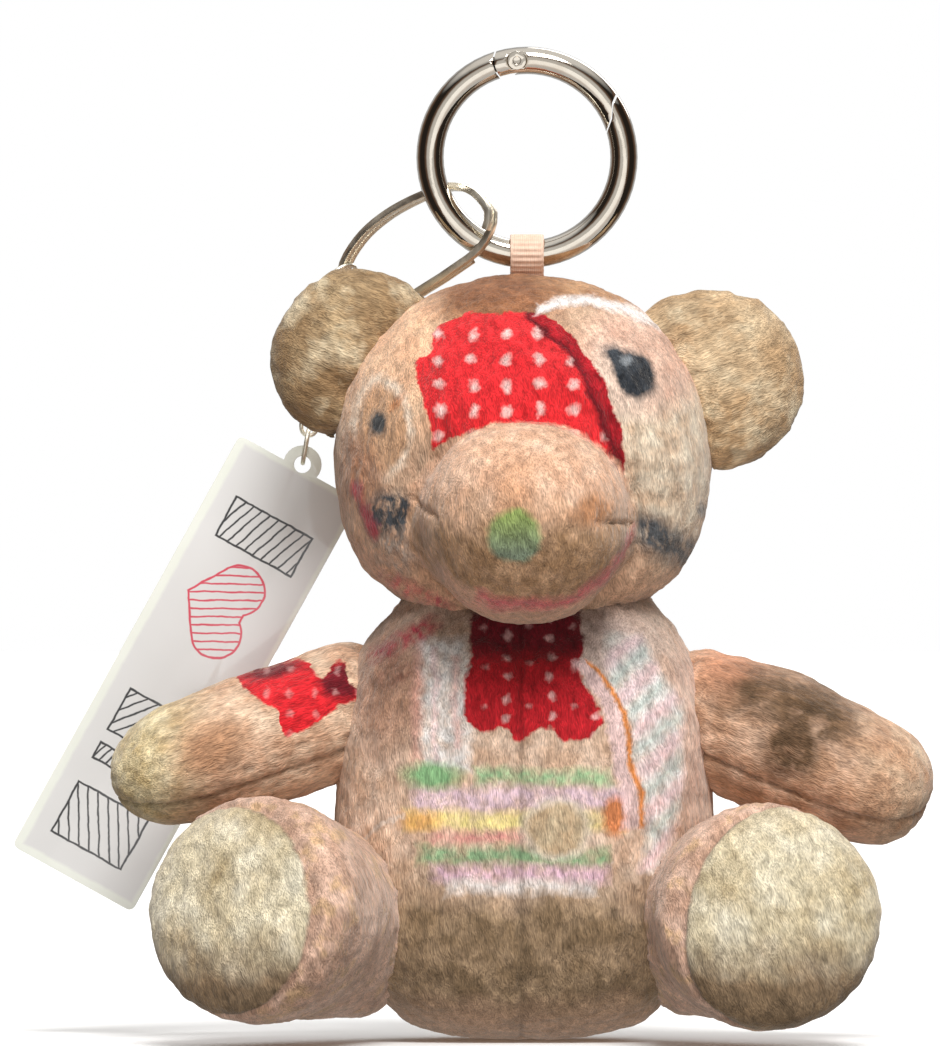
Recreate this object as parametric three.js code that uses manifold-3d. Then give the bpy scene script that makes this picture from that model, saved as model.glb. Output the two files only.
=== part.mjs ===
// A plush bear keychain. A seated bear sewn from printed short-pile fabric hangs by a ribbon loop from a
// spring-gate ring, and a drop-shaped split ring on that ring carries a chain and an acrylic tag.
// Millimetres, +Z up, the bear's face towards -Y. The origin is the top of the spring-gate ring's opening,
// where the strap or finger that holds it bears. Left and right are the viewer's: left is -X.
import * as THREE from "three";
import { mergeVertices } from "three/addons/utils/BufferGeometryUtils.js";
import Module from "manifold-3d";

const wasm = await Module();
wasm.setup();

// ---- driving dimensions ----

const GAP = 0.3; // between pieces that touch on the real object
const COVER = 1.2; // pile fabric, backing included
const SEAM = 0.3; // width left open between two sewn panels

const RING_OPENING = 25; // inner diameter of the spring-gate ring
const RING_TUBE = 2.05; // radius of its round bar
const RING_RADIUS = RING_OPENING / 2 + RING_TUBE;
const RING_CENTRE = new THREE.Vector3(0, 0, -RING_OPENING / 2);
const PIN_ANGLE = 96; // degrees round the ring from +X, to the gate's hinge pin
const PIN_RADIUS = 0.65;
const KNUCKLE = 3.4; // radius of the gate's rounded hinge end
const TONGUE_HALF = 0.45; // half thickness of the ring body's hinge tongue
const SLOT_HALF = 1.0; // half width of the slot for it in the gate

const RIBBON_WIDTH = 5;
const RIBBON_THICK = 0.5;
const RIBBON_INNER = RING_TUBE + 0.45;
const RIBBON_JOIN = -31.2; // where the two layers meet at the head seam
const RIBBON_END = -34.8; // the end sewn inside the head

const HEAD_CENTRE = [-0.8, 0.5, -56.4];
const SEAT_LEVEL = -144.2; // flat underside on which the bear sits
const DEPTH_OF_TAG = 18; // how far behind the ring's plane the chain and the tag hang

const WIRE = 0.4; // radius of the chain's and the jump rings' wire
const JUMP_RADIUS = 2.6; // centre line radius of the jump rings
const LINK_COUNT = 5;
const LINK_END = 1.2; // centre line radius of a chain link's round end
const LINK_PLAY = 0.2; // play between two links

const TAG_LENGTH = 71;
const TAG_WIDTH = 20.7;
const TAG_THICK = 3;
const TAG_HOLE = new THREE.Vector3(-33.9, DEPTH_OF_TAG, -58.5);
const TAG_LEAN = 29; // degrees that the tag hangs away from vertical, lower end to the left

// ---- shared tools ----

const radians = THREE.MathUtils.degToRad;
const UP = new THREE.Vector3(0, 0, 1);

// A closed geometry as a solid that can be cut and joined.
function solid(geometry) {
  const bare = geometry.clone();
  bare.deleteAttribute("normal");
  bare.deleteAttribute("uv");
  const merged = mergeVertices(bare, 1e-4);
  const mesh = new wasm.Mesh({
    numProp: 3,
    vertProperties: merged.attributes.position.array,
    triVerts: new Uint32Array(merged.index.array),
  });
  return new wasm.Manifold(mesh);
}

function geometryOf(made) {
  const mesh = made.getMesh();
  const geometry = new THREE.BufferGeometry();
  geometry.setAttribute("position", new THREE.BufferAttribute(mesh.vertProperties, mesh.numProp));
  geometry.setIndex(new THREE.BufferAttribute(mesh.triVerts, 1));
  geometry.computeVertexNormals();
  return geometry;
}

// A geometry whose triangles face inwards, turned the right way round.
function turnedOut(geometry) {
  const index = geometry.index ? geometry : mergeVertices(geometry, 1e-4);
  const corners = index.index.array;
  for (let i = 0; i < corners.length; i += 3) [corners[i], corners[i + 1]] = [corners[i + 1], corners[i]];
  return index;
}

// Everything on the side of a plane that its normal points to.
function halfSpace(point, normal) {
  const size = 400;
  const block = new THREE.BoxGeometry(size, size, size);
  const turn = new THREE.Quaternion().setFromUnitVectors(UP, normal.clone().normalize());
  block.translate(0, 0, size / 2);
  block.applyQuaternion(turn);
  block.translate(point.x, point.y, point.z);
  return solid(block);
}

// The part of a solid on one side of a seam's plane, half a seam's width away from it.
function side(made, point, normal, seam = SEAM) {
  const unit = normal.clone().normalize();
  return made.intersect(halfSpace(point.clone().addScaledVector(unit, seam / 2), unit));
}

// A cylinder along Y between two depths.
function yCylinder(radius, x, z, from, to, sides = 20) {
  const rod = new THREE.CylinderGeometry(radius, radius, to - from, sides);
  rod.translate(x, (from + to) / 2, z);
  return solid(rod);
}

// A flat shape drawn in X and Z, as thick as twice half, centred on a depth.
function plateXZ(shape, half, depth = 0, curveSegments = 12) {
  const plate = new THREE.ExtrudeGeometry(shape, { depth: 2 * half, bevelEnabled: false, curveSegments });
  plate.rotateX(Math.PI / 2);
  plate.translate(0, half + depth, 0);
  return solid(plate);
}

const group = new THREE.Group();

function add(name, made, material) {
  const mesh = new THREE.Mesh(made.getMesh ? geometryOf(made) : made, material);
  mesh.name = name;
  group.add(mesh);
}

function finish(color, roughness, metalness = 0) {
  return new THREE.MeshStandardMaterial({ color, roughness, metalness });
}

const chrome = finish("#c9c4bd", 0.12, 1);
const steel = finish("#c8c3b6", 0.3, 1);
const ribbonFabric = finish("#dcae92", 0.7);
const tanPile = finish("#c9a98a", 0.9);
const olivePile = finish("#b09a72", 0.9);
const creamPile = finish("#e0d2aa", 0.9);
const filling = finish("#f2f0ea", 0.95);
const acrylic = finish("#dad8d5", 0.15);

// ---- soft shapes ----

// A rounded closed form: how far it reaches from its centre along each half axis, and how square it is.
function blob(shape, inset, sides, rings) {
  const ball = new THREE.SphereGeometry(1, sides, rings);
  const place = ball.getAttribute("position");
  const centre = new THREE.Vector3(...shape.centre);
  const axes = shape.axes ?? [new THREE.Vector3(1, 0, 0), new THREE.Vector3(0, 1, 0), UP];
  for (let i = 0; i < place.count; i++) {
    const out = new THREE.Vector3().fromBufferAttribute(place, i).normalize();
    if (Math.abs(out.z) < 1e-9) out.z = 0;
    const power = shape.power(out.z);
    let sum = 0;
    [out.x, out.y, out.z].forEach((part, k) => {
      const reach = shape.reach[k][part < 0 ? 0 : 1] - inset;
      sum += Math.abs(part / reach) ** power;
    });
    const length = sum ** (-1 / power);
    const at = centre.clone();
    [out.x, out.y, out.z].forEach((part, k) => at.addScaledVector(axes[k], part * length));
    place.setXYZ(i, at.x, at.y, at.z);
  }
  return solid(ball);
}

// A stuffed limb through stations of [x, y, z, radius] from its root to its tip, with rounded ends.
function limb(shape, inset, sides, rings) {
  const skin = new THREE.SphereGeometry(1, sides, rings);
  const place = skin.getAttribute("position");
  const uv = skin.getAttribute("uv");
  const line = new THREE.CatmullRomCurve3(shape.stations.map(([x, y, z]) => new THREE.Vector3(x, y, z)));
  const girth = new THREE.CatmullRomCurve3(shape.stations.map((s, i) => new THREE.Vector3(i, s[3], 0)));
  const length = line.getLength();
  const cap = (along, long) => {
    const left = 1 - Math.min(along / long, 1);
    return Math.max(1 - left ** shape.power, 0) ** (1 / shape.power);
  };
  for (let i = 0; i < place.count; i++) {
    const t = (1 - Math.cos(Math.PI * (1 - uv.getY(i)))) / 2;
    const along = inset + t * (length - 2 * inset);
    const s = along / length;
    const at = line.getPoint(s);
    const ahead = line.getTangent(s);
    const across = new THREE.Vector3().crossVectors(ahead, UP).normalize();
    const above = new THREE.Vector3().crossVectors(across, ahead).normalize();
    const round = cap(t * length, shape.rootCap) * cap((1 - t) * length, shape.tipCap);
    const radius = (girth.getPoint(s).y - inset) * round;
    const turn = (uv.getX(i) % 1) * 2 * Math.PI;
    at.addScaledVector(across, radius * Math.cos(turn));
    at.addScaledVector(above, radius * Math.sin(turn));
    place.setXYZ(i, at.x, at.y, at.z);
  }
  const made = solid(skin);
  return made.volume() > 0 ? made : solid(turnedOut(skin));
}

// Inset of each layer of a stuffed piece from its outer surface.
const LAYER = { outer: 0, cavity: COVER, filling: COVER + GAP, cleared: -GAP };

// ---- the spring-gate ring ----

function onRing(degrees, radius = RING_RADIUS) {
  const x = RING_CENTRE.x + radius * Math.cos(radians(degrees));
  const z = RING_CENTRE.z + radius * Math.sin(radians(degrees));
  return new THREE.Vector2(x, z);
}

const PIN = onRing(PIN_ANGLE);

// The stretch of ring that the gate takes, from its hinge round to its slanted latch, clockwise.
function gateStretch(gap) {
  const inner = RING_RADIUS - 4;
  const outer = RING_RADIUS + 4;
  const turned = THREE.MathUtils.radToDeg((1.6 * gap) / RING_RADIUS);
  const shape = new THREE.Shape();
  const corners = [onRing(PIN_ANGLE, inner), onRing(PIN_ANGLE, outer)];
  for (let angle = PIN_ANGLE - 10; angle > 40; angle -= 10) corners.push(onRing(angle, outer));
  // the latch slants so that the gate's nose swings inwards clear of the body's lip
  for (const [angle, radius] of [[38.5, 18], [32.5, 15.1], [26, 14.1], [14, 11.9], [13, 11]]) {
    corners.push(onRing(angle - turned, radius - gap / 3));
  }
  for (let angle = 25; angle < PIN_ANGLE; angle += 10) corners.push(onRing(angle, inner));
  shape.setFromPoints(corners);
  return plateXZ(shape, 4).add(yCylinder(KNUCKLE + gap, PIN.x, PIN.y, -4, 4, 32));
}

// A flat bar with a round end about the hinge pin, pointing back along the ring and turned by some degrees.
function hingeBar(halfWidth, reach, turned) {
  const bar = new THREE.Shape();
  bar.moveTo(0, halfWidth);
  bar.lineTo(-reach, halfWidth);
  bar.lineTo(-reach, -halfWidth);
  bar.lineTo(0, -halfWidth);
  bar.absarc(0, 0, halfWidth, -Math.PI / 2, Math.PI / 2, false);
  const turn = radians(PIN_ANGLE - 90 + turned);
  const points = bar.getPoints(6).map((p) => p.rotateAround(new THREE.Vector2(), turn));
  points.forEach((p) => p.add(PIN));
  return new THREE.Shape(points);
}

function springGateRing() {
  const bar = new THREE.TorusGeometry(RING_RADIUS, RING_TUBE, 12, 64);
  bar.rotateX(Math.PI / 2);
  bar.translate(RING_CENTRE.x, RING_CENTRE.y, RING_CENTRE.z);
  const whole = solid(bar);
  const opened = 30; // the slot lets the gate turn this far
  const hole = yCylinder(PIN_RADIUS + 0.1, PIN.x, PIN.y, -3, 3);

  const tongue = plateXZ(hingeBar(1.15, KNUCKLE + 1.2, 4), TONGUE_HALF).subtract(hole);
  add("ring_body", whole.subtract(gateStretch(0.25)).add(tongue), chrome);

  let gate = whole.intersect(gateStretch(0)).subtract(hole);
  for (let turned = 0; turned <= opened; turned += 10) {
    gate = gate.subtract(plateXZ(hingeBar(1.4, KNUCKLE + 2, turned + 4), SLOT_HALF));
  }
  for (const sign of [-1, 1]) {
    const [near, far] = sign < 0 ? [-3, -1.5] : [1.5, 3];
    gate = gate.subtract(yCylinder(1.65, PIN.x, PIN.y, near, far));
  }
  add("ring_gate", gate, chrome);

  let pin = yCylinder(PIN_RADIUS, PIN.x, PIN.y, -2.1, 2.1, 16);
  for (const [near, far, dimple] of [[-2.1, -1.6, -2.1], [1.6, 2.1, 2.1]]) {
    pin = pin.add(yCylinder(1.4, PIN.x, PIN.y, near, far));
    pin = pin.subtract(yCylinder(0.6, PIN.x, PIN.y, dimple - 0.3, dimple + 0.3, 12));
  }
  add("gate_pin", pin, steel);

  const coil = new THREE.TorusGeometry(1.02, 0.17, 6, 16);
  coil.rotateX(Math.PI / 2);
  coil.translate(PIN.x, 0.72, PIN.y);
  const leg = new THREE.CylinderGeometry(0.17, 0.17, 2.2, 6);
  leg.rotateZ(Math.PI / 2);
  leg.translate(PIN.x - 1.1, 0.72, PIN.y - 1.02);
  add("gate_spring", solid(coil).add(solid(leg)), steel);
}

// ---- the ribbon ----

const RING_BOTTOM = RING_CENTRE.z - RING_RADIUS;

// The ribbon's side outline round the ring's bar, grown all round, closing to a point or to a flat tail.
function ribbonOutline(radius, halfTail, join, end) {
  const drop = RING_BOTTOM - join;
  const far = Math.hypot(drop, halfTail);
  const lean = Math.acos(radius / far) - Math.atan2(halfTail, drop);
  const leaves = -Math.PI / 2 + lean;
  const shape = new THREE.Shape();
  shape.absarc(0, RING_BOTTOM, radius, leaves, Math.PI - leaves, false);
  shape.lineTo(-halfTail, join);
  if (end < join) {
    shape.lineTo(-halfTail, end);
    shape.lineTo(halfTail, end);
  }
  shape.lineTo(halfTail, join);
  return shape;
}

// An outline drawn in Y and Z, as wide in X as given.
function plateYZ(shape, width) {
  const plate = new THREE.ExtrudeGeometry(shape, { depth: width, bevelEnabled: false, curveSegments: 16 });
  plate.translate(0, 0, -width / 2);
  const turned = new THREE.Matrix4();
  turned.makeBasis(new THREE.Vector3(0, 1, 0), UP, new THREE.Vector3(1, 0, 0));
  plate.applyMatrix4(turned);
  return solid(plate);
}

function ribbonBand(grow) {
  const thick = RIBBON_THICK + grow;
  const outline = ribbonOutline(RIBBON_INNER + thick, thick, RIBBON_JOIN, RIBBON_END - grow);
  return plateYZ(outline, RIBBON_WIDTH + 2 * grow);
}

function ribbonLoop() {
  const hollow = ribbonOutline(RIBBON_INNER, 0.02, RIBBON_JOIN + 0.3, RIBBON_JOIN + 0.3);
  add("ribbon_loop", ribbonBand(0).subtract(plateYZ(hollow, RIBBON_WIDTH + 2)), ribbonFabric);
}

// ---- the bear ----

const steady = (power) => () => power;

const HEAD = {
  centre: HEAD_CENTRE,
  reach: [[28.7, 29.1], [23.5, 24], [25.4, 26.6]],
  power: (up) => THREE.MathUtils.lerp(2.8, 2.05, THREE.MathUtils.smoothstep(up, -0.6, 0.2)),
};
const MUZZLE = {
  centre: [-0.4, -17.5, -66.4],
  reach: [[17, 17], [20, 12], [15.3, 15.3]],
  power: steady(2.15),
};
const TORSO = {
  centre: [-0.4, 3, -112],
  reach: [[28.3, 28.3], [21.5, 22], [33.2, 38]],
  power: steady(3),
};
// Each ear stands on the head along a line that leans outwards: its centre, and the lean of that line.
const EARS = {
  left: { centre: [-24.9, -1, -42.5], reach: [[14.2, 14.2], [5.2, 5.2], [14.4, 14.4]], lean: 61, out: -1 },
  right: { centre: [26.5, -1, -46.3], reach: [[16.3, 16.3], [5.4, 5.4], [14.8, 14.8]], lean: 76, out: 1 },
};
const ARMS = {
  left: {
    stations: [
      [-13, 3, -89.8, 8],
      [-24, 1.5, -93.9, 9.6],
      [-36, -1, -98.6, 10.3],
      [-48, -5, -102.2, 9.8],
      [-62.2, -9, -107, 8.2],
    ],
    rootCap: 5,
    tipCap: 9,
    power: 2,
  },
  right: {
    stations: [
      [13, 3, -89.3, 7.5],
      [24, 1.5, -94.2, 8.8],
      [37, -2, -100.2, 11.1],
      [49, -7, -105.2, 10],
      [60, -11, -109, 8.4],
    ],
    rootCap: 5,
    tipCap: 8.5,
    power: 2.1,
  },
};
const LEGS = {
  left: {
    stations: [
      [-15, 10, -130.5, 8.5],
      [-25, -2, -129.6, 12],
      [-34.6, -14.5, -126, 15.6],
      [-39, -26, -124.8, 17],
      [-44, -35, -123.2, 17.3],
    ],
    rootCap: 6,
    tipCap: 8,
    power: 2.3,
  },
  right: {
    stations: [
      [15, 10, -130.5, 8.5],
      [24, -2, -129.6, 12],
      [33, -15, -125.9, 15.8],
      [35, -27.5, -125.8, 17],
      [36.2, -37.5, -125, 16.9],
    ],
    rootCap: 6,
    tipCap: 8,
    power: 2.3,
  },
};

// The plane of each sole's seam. It faces outwards, so that the sole wraps round the foot's outer edge.
const SOLE_SEAMS = {
  left: { through: [-31.4, -40, -123], facing: [-0.62, -0.78, 0.1] },
  right: { through: [24.4, -36.3, -125], facing: [0.44, -0.89, -0.03] },
};

const ACROSS = new THREE.Vector3(1, 0, 0);
const FORWARD = new THREE.Vector3(0, -1, 0);

// Head layers: the head itself, and the muzzle that is sewn on its front.
function headLayer(inset) {
  const fine = inset <= 0;
  return blob(HEAD, inset, fine ? 28 : 14, fine ? 18 : 10);
}

function muzzleLayer(inset) {
  const fine = inset <= 0;
  return blob(MUZZLE, inset, fine ? 20 : 12, fine ? 12 : 8);
}

function head() {
  const ribbonSlot = ribbonBand(GAP);
  const middle = new THREE.Vector3(...HEAD_CENTRE);
  const shell = headLayer(LAYER.outer).subtract(headLayer(LAYER.cavity)).subtract(ribbonSlot);
  const face = side(shell.subtract(muzzleLayer(LAYER.cleared)), middle, FORWARD);
  add("face_left", side(face, middle, ACROSS.clone().negate()), tanPile);
  add("face_right", side(face, middle, ACROSS), tanPile);
  add("head_back", side(shell, middle, FORWARD.clone().negate()), tanPile);

  const hollow = muzzleLayer(LAYER.outer).subtract(muzzleLayer(LAYER.cavity));
  const snout = hollow.subtract(headLayer(LAYER.cleared));
  add("muzzle_left", side(snout, middle, ACROSS.clone().negate()), tanPile);
  add("muzzle_right", side(snout, middle, ACROSS), tanPile);

  const stuffing = headLayer(LAYER.filling).add(muzzleLayer(LAYER.filling)).subtract(ribbonSlot);
  add("head_stuffing", stuffing, filling);
}

// An ear's own axes: out of the head, forwards, and along the line where it is sewn on.
function earShape(ear) {
  const along = new THREE.Vector3(-ear.out * Math.cos(radians(ear.lean)), 0, Math.sin(radians(ear.lean)));
  const out = new THREE.Vector3(along.z * ear.out, 0, -along.x * ear.out);
  const front = new THREE.Vector3().crossVectors(along, out);
  return { centre: ear.centre, reach: ear.reach, power: steady(2.25), axes: [out, front, along] };
}

function ear(name) {
  const shape = earShape(EARS[name]);
  const middle = new THREE.Vector3(...shape.centre);
  const cleared = headLayer(LAYER.cleared);
  const hollow = blob(shape, LAYER.outer, 16, 10).subtract(blob(shape, LAYER.cavity, 10, 6));
  const skin = hollow.subtract(cleared);
  add(`ear_${name}_front`, side(skin, middle, FORWARD), olivePile);
  add(`ear_${name}_back`, side(skin, middle, FORWARD.clone().negate()), olivePile);
  add(`ear_${name}_stuffing`, blob(shape, LAYER.filling, 10, 6).subtract(cleared), filling);
}

// Torso layers, flat underneath where the bear sits.
function torsoLayer(inset) {
  const fine = inset <= 0;
  const form = blob(TORSO, inset, fine ? 24 : 14, fine ? 16 : 10);
  return form.intersect(halfSpace(new THREE.Vector3(0, 0, SEAT_LEVEL + inset), UP));
}

function torso() {
  const middle = new THREE.Vector3(...TORSO.centre);
  const head = headLayer(LAYER.cleared).add(muzzleLayer(LAYER.cleared));
  const shell = torsoLayer(LAYER.outer).subtract(torsoLayer(LAYER.cavity)).subtract(head);
  const front = side(shell, middle, FORWARD);
  add("torso_front_left", side(front, middle, ACROSS.clone().negate()), tanPile);
  add("torso_front_right", side(front, middle, ACROSS), tanPile);
  add("torso_back", side(shell, middle, FORWARD.clone().negate()), tanPile);
  add("torso_stuffing", torsoLayer(LAYER.filling).subtract(head), filling);
}

function arm(name) {
  const shape = ARMS[name];
  const body = torsoLayer(LAYER.cleared).add(headLayer(LAYER.cleared));
  const skin = limb(shape, LAYER.outer, 16, 14).subtract(limb(shape, LAYER.cavity, 10, 10)).subtract(body);
  const root = new THREE.Vector3(...shape.stations[1].slice(0, 3));
  const tip = new THREE.Vector3(...shape.stations[4].slice(0, 3));
  const along = tip.clone().sub(root).normalize();
  // the seam runs along the front below the middle, and its plane rises towards the back
  const above = new THREE.Vector3(0, -0.45, 1).projectOnPlane(along).normalize();
  const seamPoint = root.clone().add(tip).multiplyScalar(0.5).addScaledVector(UP, -2.2);
  add(`arm_${name}_upper`, side(skin, seamPoint, above), tanPile);
  add(`arm_${name}_lower`, side(skin, seamPoint, above.clone().negate()), tanPile);
  add(`arm_${name}_stuffing`, limb(shape, LAYER.filling, 10, 10).subtract(body), filling);
}

function leg(name) {
  const shape = LEGS[name];
  const body = torsoLayer(LAYER.cleared);
  const skin = limb(shape, LAYER.outer, 20, 16).subtract(limb(shape, LAYER.cavity, 12, 10)).subtract(body);
  const seamPoint = new THREE.Vector3(...SOLE_SEAMS[name].through);
  const ahead = new THREE.Vector3(...SOLE_SEAMS[name].facing).normalize();
  add(`leg_${name}_cover`, side(skin, seamPoint, ahead.clone().negate()), tanPile);
  add(`leg_${name}_sole`, side(skin, seamPoint, ahead), creamPile);
  add(`leg_${name}_stuffing`, limb(shape, LAYER.filling, 12, 10).subtract(body), filling);
}

// ---- the split ring, jump rings and chain ----

// The split ring's plane: its long axis, the direction across it, and the way its two turns are stacked.
const SPLIT_ORIGIN = new THREE.Vector3(-9.9, 0.55, -21.75);
const SPLIT_STACK = new THREE.Vector3(0.92, 1, -0.155).normalize();
const SPLIT_LONG = new THREE.Vector3(-0.739, 0.616, -0.411).projectOnPlane(SPLIT_STACK).normalize();
const SPLIT_ACROSS = new THREE.Vector3().crossVectors(SPLIT_LONG, SPLIT_STACK).normalize();
const SPLIT_WIDE = 1.1; // flat wire, across its face
const SPLIT_THICK = 0.95;
const SPLIT_PITCH = 1.05; // from one turn to the next
const SPLIT_TURNS = 1.92;
// The drop outline along its long axis and across it, from the front cut end round the narrow tip.
const SPLIT_OUTLINE = [
  [-4.9, 4.1], [-6.2, 2.1], [-5.9, 0.4], [-3.8, -2.9], [0.4, -5.5], [5.5, -6.4], [13.3, -6.7], [19.4, -5.6],
  [23.8, -3.1], [25, -0.8], [24.8, 1.7], [20.4, 5.6], [14.7, 7], [9.9, 7], [3.5, 6.6], [-2.3, 5.8],
];

function splitRingCurve() {
  const corners = SPLIT_OUTLINE.map(([u, v]) => new THREE.Vector3(u, v, 0));
  const outline = new THREE.CatmullRomCurve3(corners, true);
  const steps = 96;
  const points = [];
  for (let i = 0; i <= steps; i++) {
    const turn = (SPLIT_TURNS * i) / steps;
    const at = outline.getPointAt(turn % 1);
    at.z = (turn - SPLIT_TURNS / 2) * SPLIT_PITCH;
    points.push(at);
  }
  return new THREE.CatmullRomCurve3(points);
}

function splitRing() {
  const section = new THREE.Shape();
  const [half, rise] = [SPLIT_WIDE / 2, SPLIT_THICK / 2];
  section.setFromPoints([
    new THREE.Vector2(-rise, -half),
    new THREE.Vector2(rise, -half),
    new THREE.Vector2(rise, half),
    new THREE.Vector2(-rise, half),
  ]);
  const way = { extrudePath: splitRingCurve(), steps: 100, bevelEnabled: false };
  const wire = new THREE.ExtrudeGeometry(section, way);
  const turned = new THREE.Matrix4().makeBasis(SPLIT_LONG, SPLIT_ACROSS, SPLIT_STACK);
  wire.applyMatrix4(turned.setPosition(SPLIT_ORIGIN));
  const made = solid(wire);
  add("split_ring", made.volume() > 0 ? made : solid(turnedOut(wire)), steel);
}

// A closed wire loop with straight sides, in a plane of two axes.
function wireLoop(centre, along, across, halfLength, endRadius, segments) {
  const straight = halfLength - endRadius;
  const points = [];
  const count = segments * 2;
  for (let i = 0; i < count; i++) {
    const angle = (2 * Math.PI * (i + 0.5)) / count;
    const lift = Math.cos(angle) > 0 ? straight : -straight;
    const at = centre.clone().addScaledVector(along, Math.cos(angle) * endRadius + lift);
    points.push(at.addScaledVector(across, Math.sin(angle) * endRadius));
  }
  const curve = new THREE.CatmullRomCurve3(points, true, "centripetal");
  return new THREE.TubeGeometry(curve, count, WIRE, 6, true);
}

// The upper jump ring threads the split ring where it turns round at its wide end.
const JUMP_NORMAL = new THREE.Vector3(0.55, -0.5, -0.67).normalize();
const JUMP_DOWN = new THREE.Vector3(0, 0, -1).projectOnPlane(JUMP_NORMAL).normalize();
const JUMP_ALONG = new THREE.Vector3().crossVectors(JUMP_NORMAL, JUMP_DOWN);
const UPPER_JUMP = SPLIT_ORIGIN.clone();
UPPER_JUMP.addScaledVector(SPLIT_LONG, 24.9);
UPPER_JUMP.addScaledVector(SPLIT_ACROSS, -1.6);
UPPER_JUMP.addScaledVector(JUMP_DOWN, 0.28);
const CHAIN_TOP = UPPER_JUMP.clone().addScaledVector(JUMP_DOWN, JUMP_RADIUS);
const HANG = 0.15; // the tag hangs on the lower jump ring's wire, this far above the hole's middle
// The chain hangs on a line from the upper jump ring's lowest wire to the wire in the tag's hole.
const CHAIN_LINE = TAG_HOLE.clone().sub(CHAIN_TOP).normalize();
const SIDEWAYS = new THREE.Vector3().crossVectors(new THREE.Vector3(0, 1, 0), CHAIN_LINE).normalize();
const BACKWARDS = new THREE.Vector3().crossVectors(CHAIN_LINE, SIDEWAYS).normalize();
const LOWER_JUMP = TAG_HOLE.clone().addScaledVector(CHAIN_LINE, -HANG - JUMP_RADIUS);

function chain() {
  add("upper_jump_ring", wireLoop(UPPER_JUMP, JUMP_DOWN, JUMP_ALONG, JUMP_RADIUS, JUMP_RADIUS, 10), steel);
  const overlap = 2 * WIRE + LINK_PLAY;
  const reach = CHAIN_TOP.distanceTo(LOWER_JUMP) - JUMP_RADIUS;
  const long = (reach + (LINK_COUNT + 1) * overlap) / LINK_COUNT;
  // the first link stands square to the upper jump ring's wire, the last one to the lower jump ring's
  const first = new THREE.Vector3().crossVectors(CHAIN_LINE, JUMP_ALONG).normalize();
  const twist = Math.atan2(first.dot(BACKWARDS), first.dot(SIDEWAYS));
  for (let i = 0; i < LINK_COUNT; i++) {
    const middle = long / 2 - overlap + i * (long - overlap);
    const centre = CHAIN_TOP.clone().addScaledVector(CHAIN_LINE, middle);
    const turn = twist * (1 - i / (LINK_COUNT - 1)) + (i % 2) * (Math.PI / 2);
    const across = SIDEWAYS.clone().applyAxisAngle(CHAIN_LINE, turn);
    add(`chain_link_${i + 1}`, wireLoop(centre, CHAIN_LINE, across, long / 2, LINK_END, 8), steel);
  }
  add("lower_jump_ring", wireLoop(LOWER_JUMP, CHAIN_LINE, BACKWARDS, JUMP_RADIUS, JUMP_RADIUS, 10), steel);
}

// ---- the tag ----

function tag() {
  const hole = new THREE.Vector2(0.1, 0.7); // from the middle of the top edge, along it and above it
  const lobe = 2.9;
  const round = 1;
  const half = TAG_WIDTH / 2;
  const plate = new THREE.Shape();
  plate.moveTo(-half + round, 0);
  plate.lineTo(half - round, 0);
  plate.absarc(half - round, -round, round, Math.PI / 2, 0, true);
  plate.lineTo(half, -TAG_LENGTH + round);
  plate.absarc(half - round, -TAG_LENGTH + round, round, 0, -Math.PI / 2, true);
  plate.lineTo(-half + round, -TAG_LENGTH);
  plate.absarc(-half + round, -TAG_LENGTH + round, round, -Math.PI / 2, -Math.PI, true);
  plate.lineTo(-half, -round);
  plate.absarc(-half + round, -round, round, Math.PI, Math.PI / 2, true);
  let made = plateXZ(plate, TAG_THICK / 2, 0, 4);
  made = made.add(yCylinder(lobe, hole.x, hole.y, -TAG_THICK / 2, TAG_THICK / 2, 24));
  made = made.subtract(yCylinder(1.3, hole.x, hole.y, -3, 3, 16));
  const geometry = geometryOf(made);
  geometry.translate(-hole.x, 0, -hole.y);
  const mesh = new THREE.Mesh(geometry, acrylic);
  mesh.name = "tag_plate";
  mesh.position.copy(TAG_HOLE);
  mesh.rotation.y = radians(TAG_LEAN);
  group.add(mesh);
}

springGateRing();
ribbonLoop();
head();
ear("left");
ear("right");
torso();
arm("left");
arm("right");
leg("left");
leg("right");
splitRing();
chain();
tag();

export default group;
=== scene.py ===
"""Blender looks for the plush bear keychain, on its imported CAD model. Metres, +Z up, facing -Y."""

import math

import bmesh
import bpy
import numpy as np
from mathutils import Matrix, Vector
from mathutils.bvhtree import BVHTree


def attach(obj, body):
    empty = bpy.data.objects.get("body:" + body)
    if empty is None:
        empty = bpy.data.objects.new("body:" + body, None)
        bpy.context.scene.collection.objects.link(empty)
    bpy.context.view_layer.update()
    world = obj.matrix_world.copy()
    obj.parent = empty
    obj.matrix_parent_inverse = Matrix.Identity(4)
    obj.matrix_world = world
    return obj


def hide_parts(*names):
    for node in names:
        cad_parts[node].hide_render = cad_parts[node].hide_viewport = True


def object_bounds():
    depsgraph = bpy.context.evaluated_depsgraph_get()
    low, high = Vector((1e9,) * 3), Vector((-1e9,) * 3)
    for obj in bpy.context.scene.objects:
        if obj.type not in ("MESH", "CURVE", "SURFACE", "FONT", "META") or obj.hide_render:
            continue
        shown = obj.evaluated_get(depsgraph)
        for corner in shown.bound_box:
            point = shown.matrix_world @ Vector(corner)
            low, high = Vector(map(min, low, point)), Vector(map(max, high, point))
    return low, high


MM = 0.001
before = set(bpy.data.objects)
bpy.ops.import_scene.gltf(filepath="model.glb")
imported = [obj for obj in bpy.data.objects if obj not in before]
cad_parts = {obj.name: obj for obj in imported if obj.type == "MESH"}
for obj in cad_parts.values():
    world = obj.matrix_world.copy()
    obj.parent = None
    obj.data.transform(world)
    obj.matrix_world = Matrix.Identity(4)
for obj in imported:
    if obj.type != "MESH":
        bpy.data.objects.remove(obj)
cad_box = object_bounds()

# ---- the photograph's view ----

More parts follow.
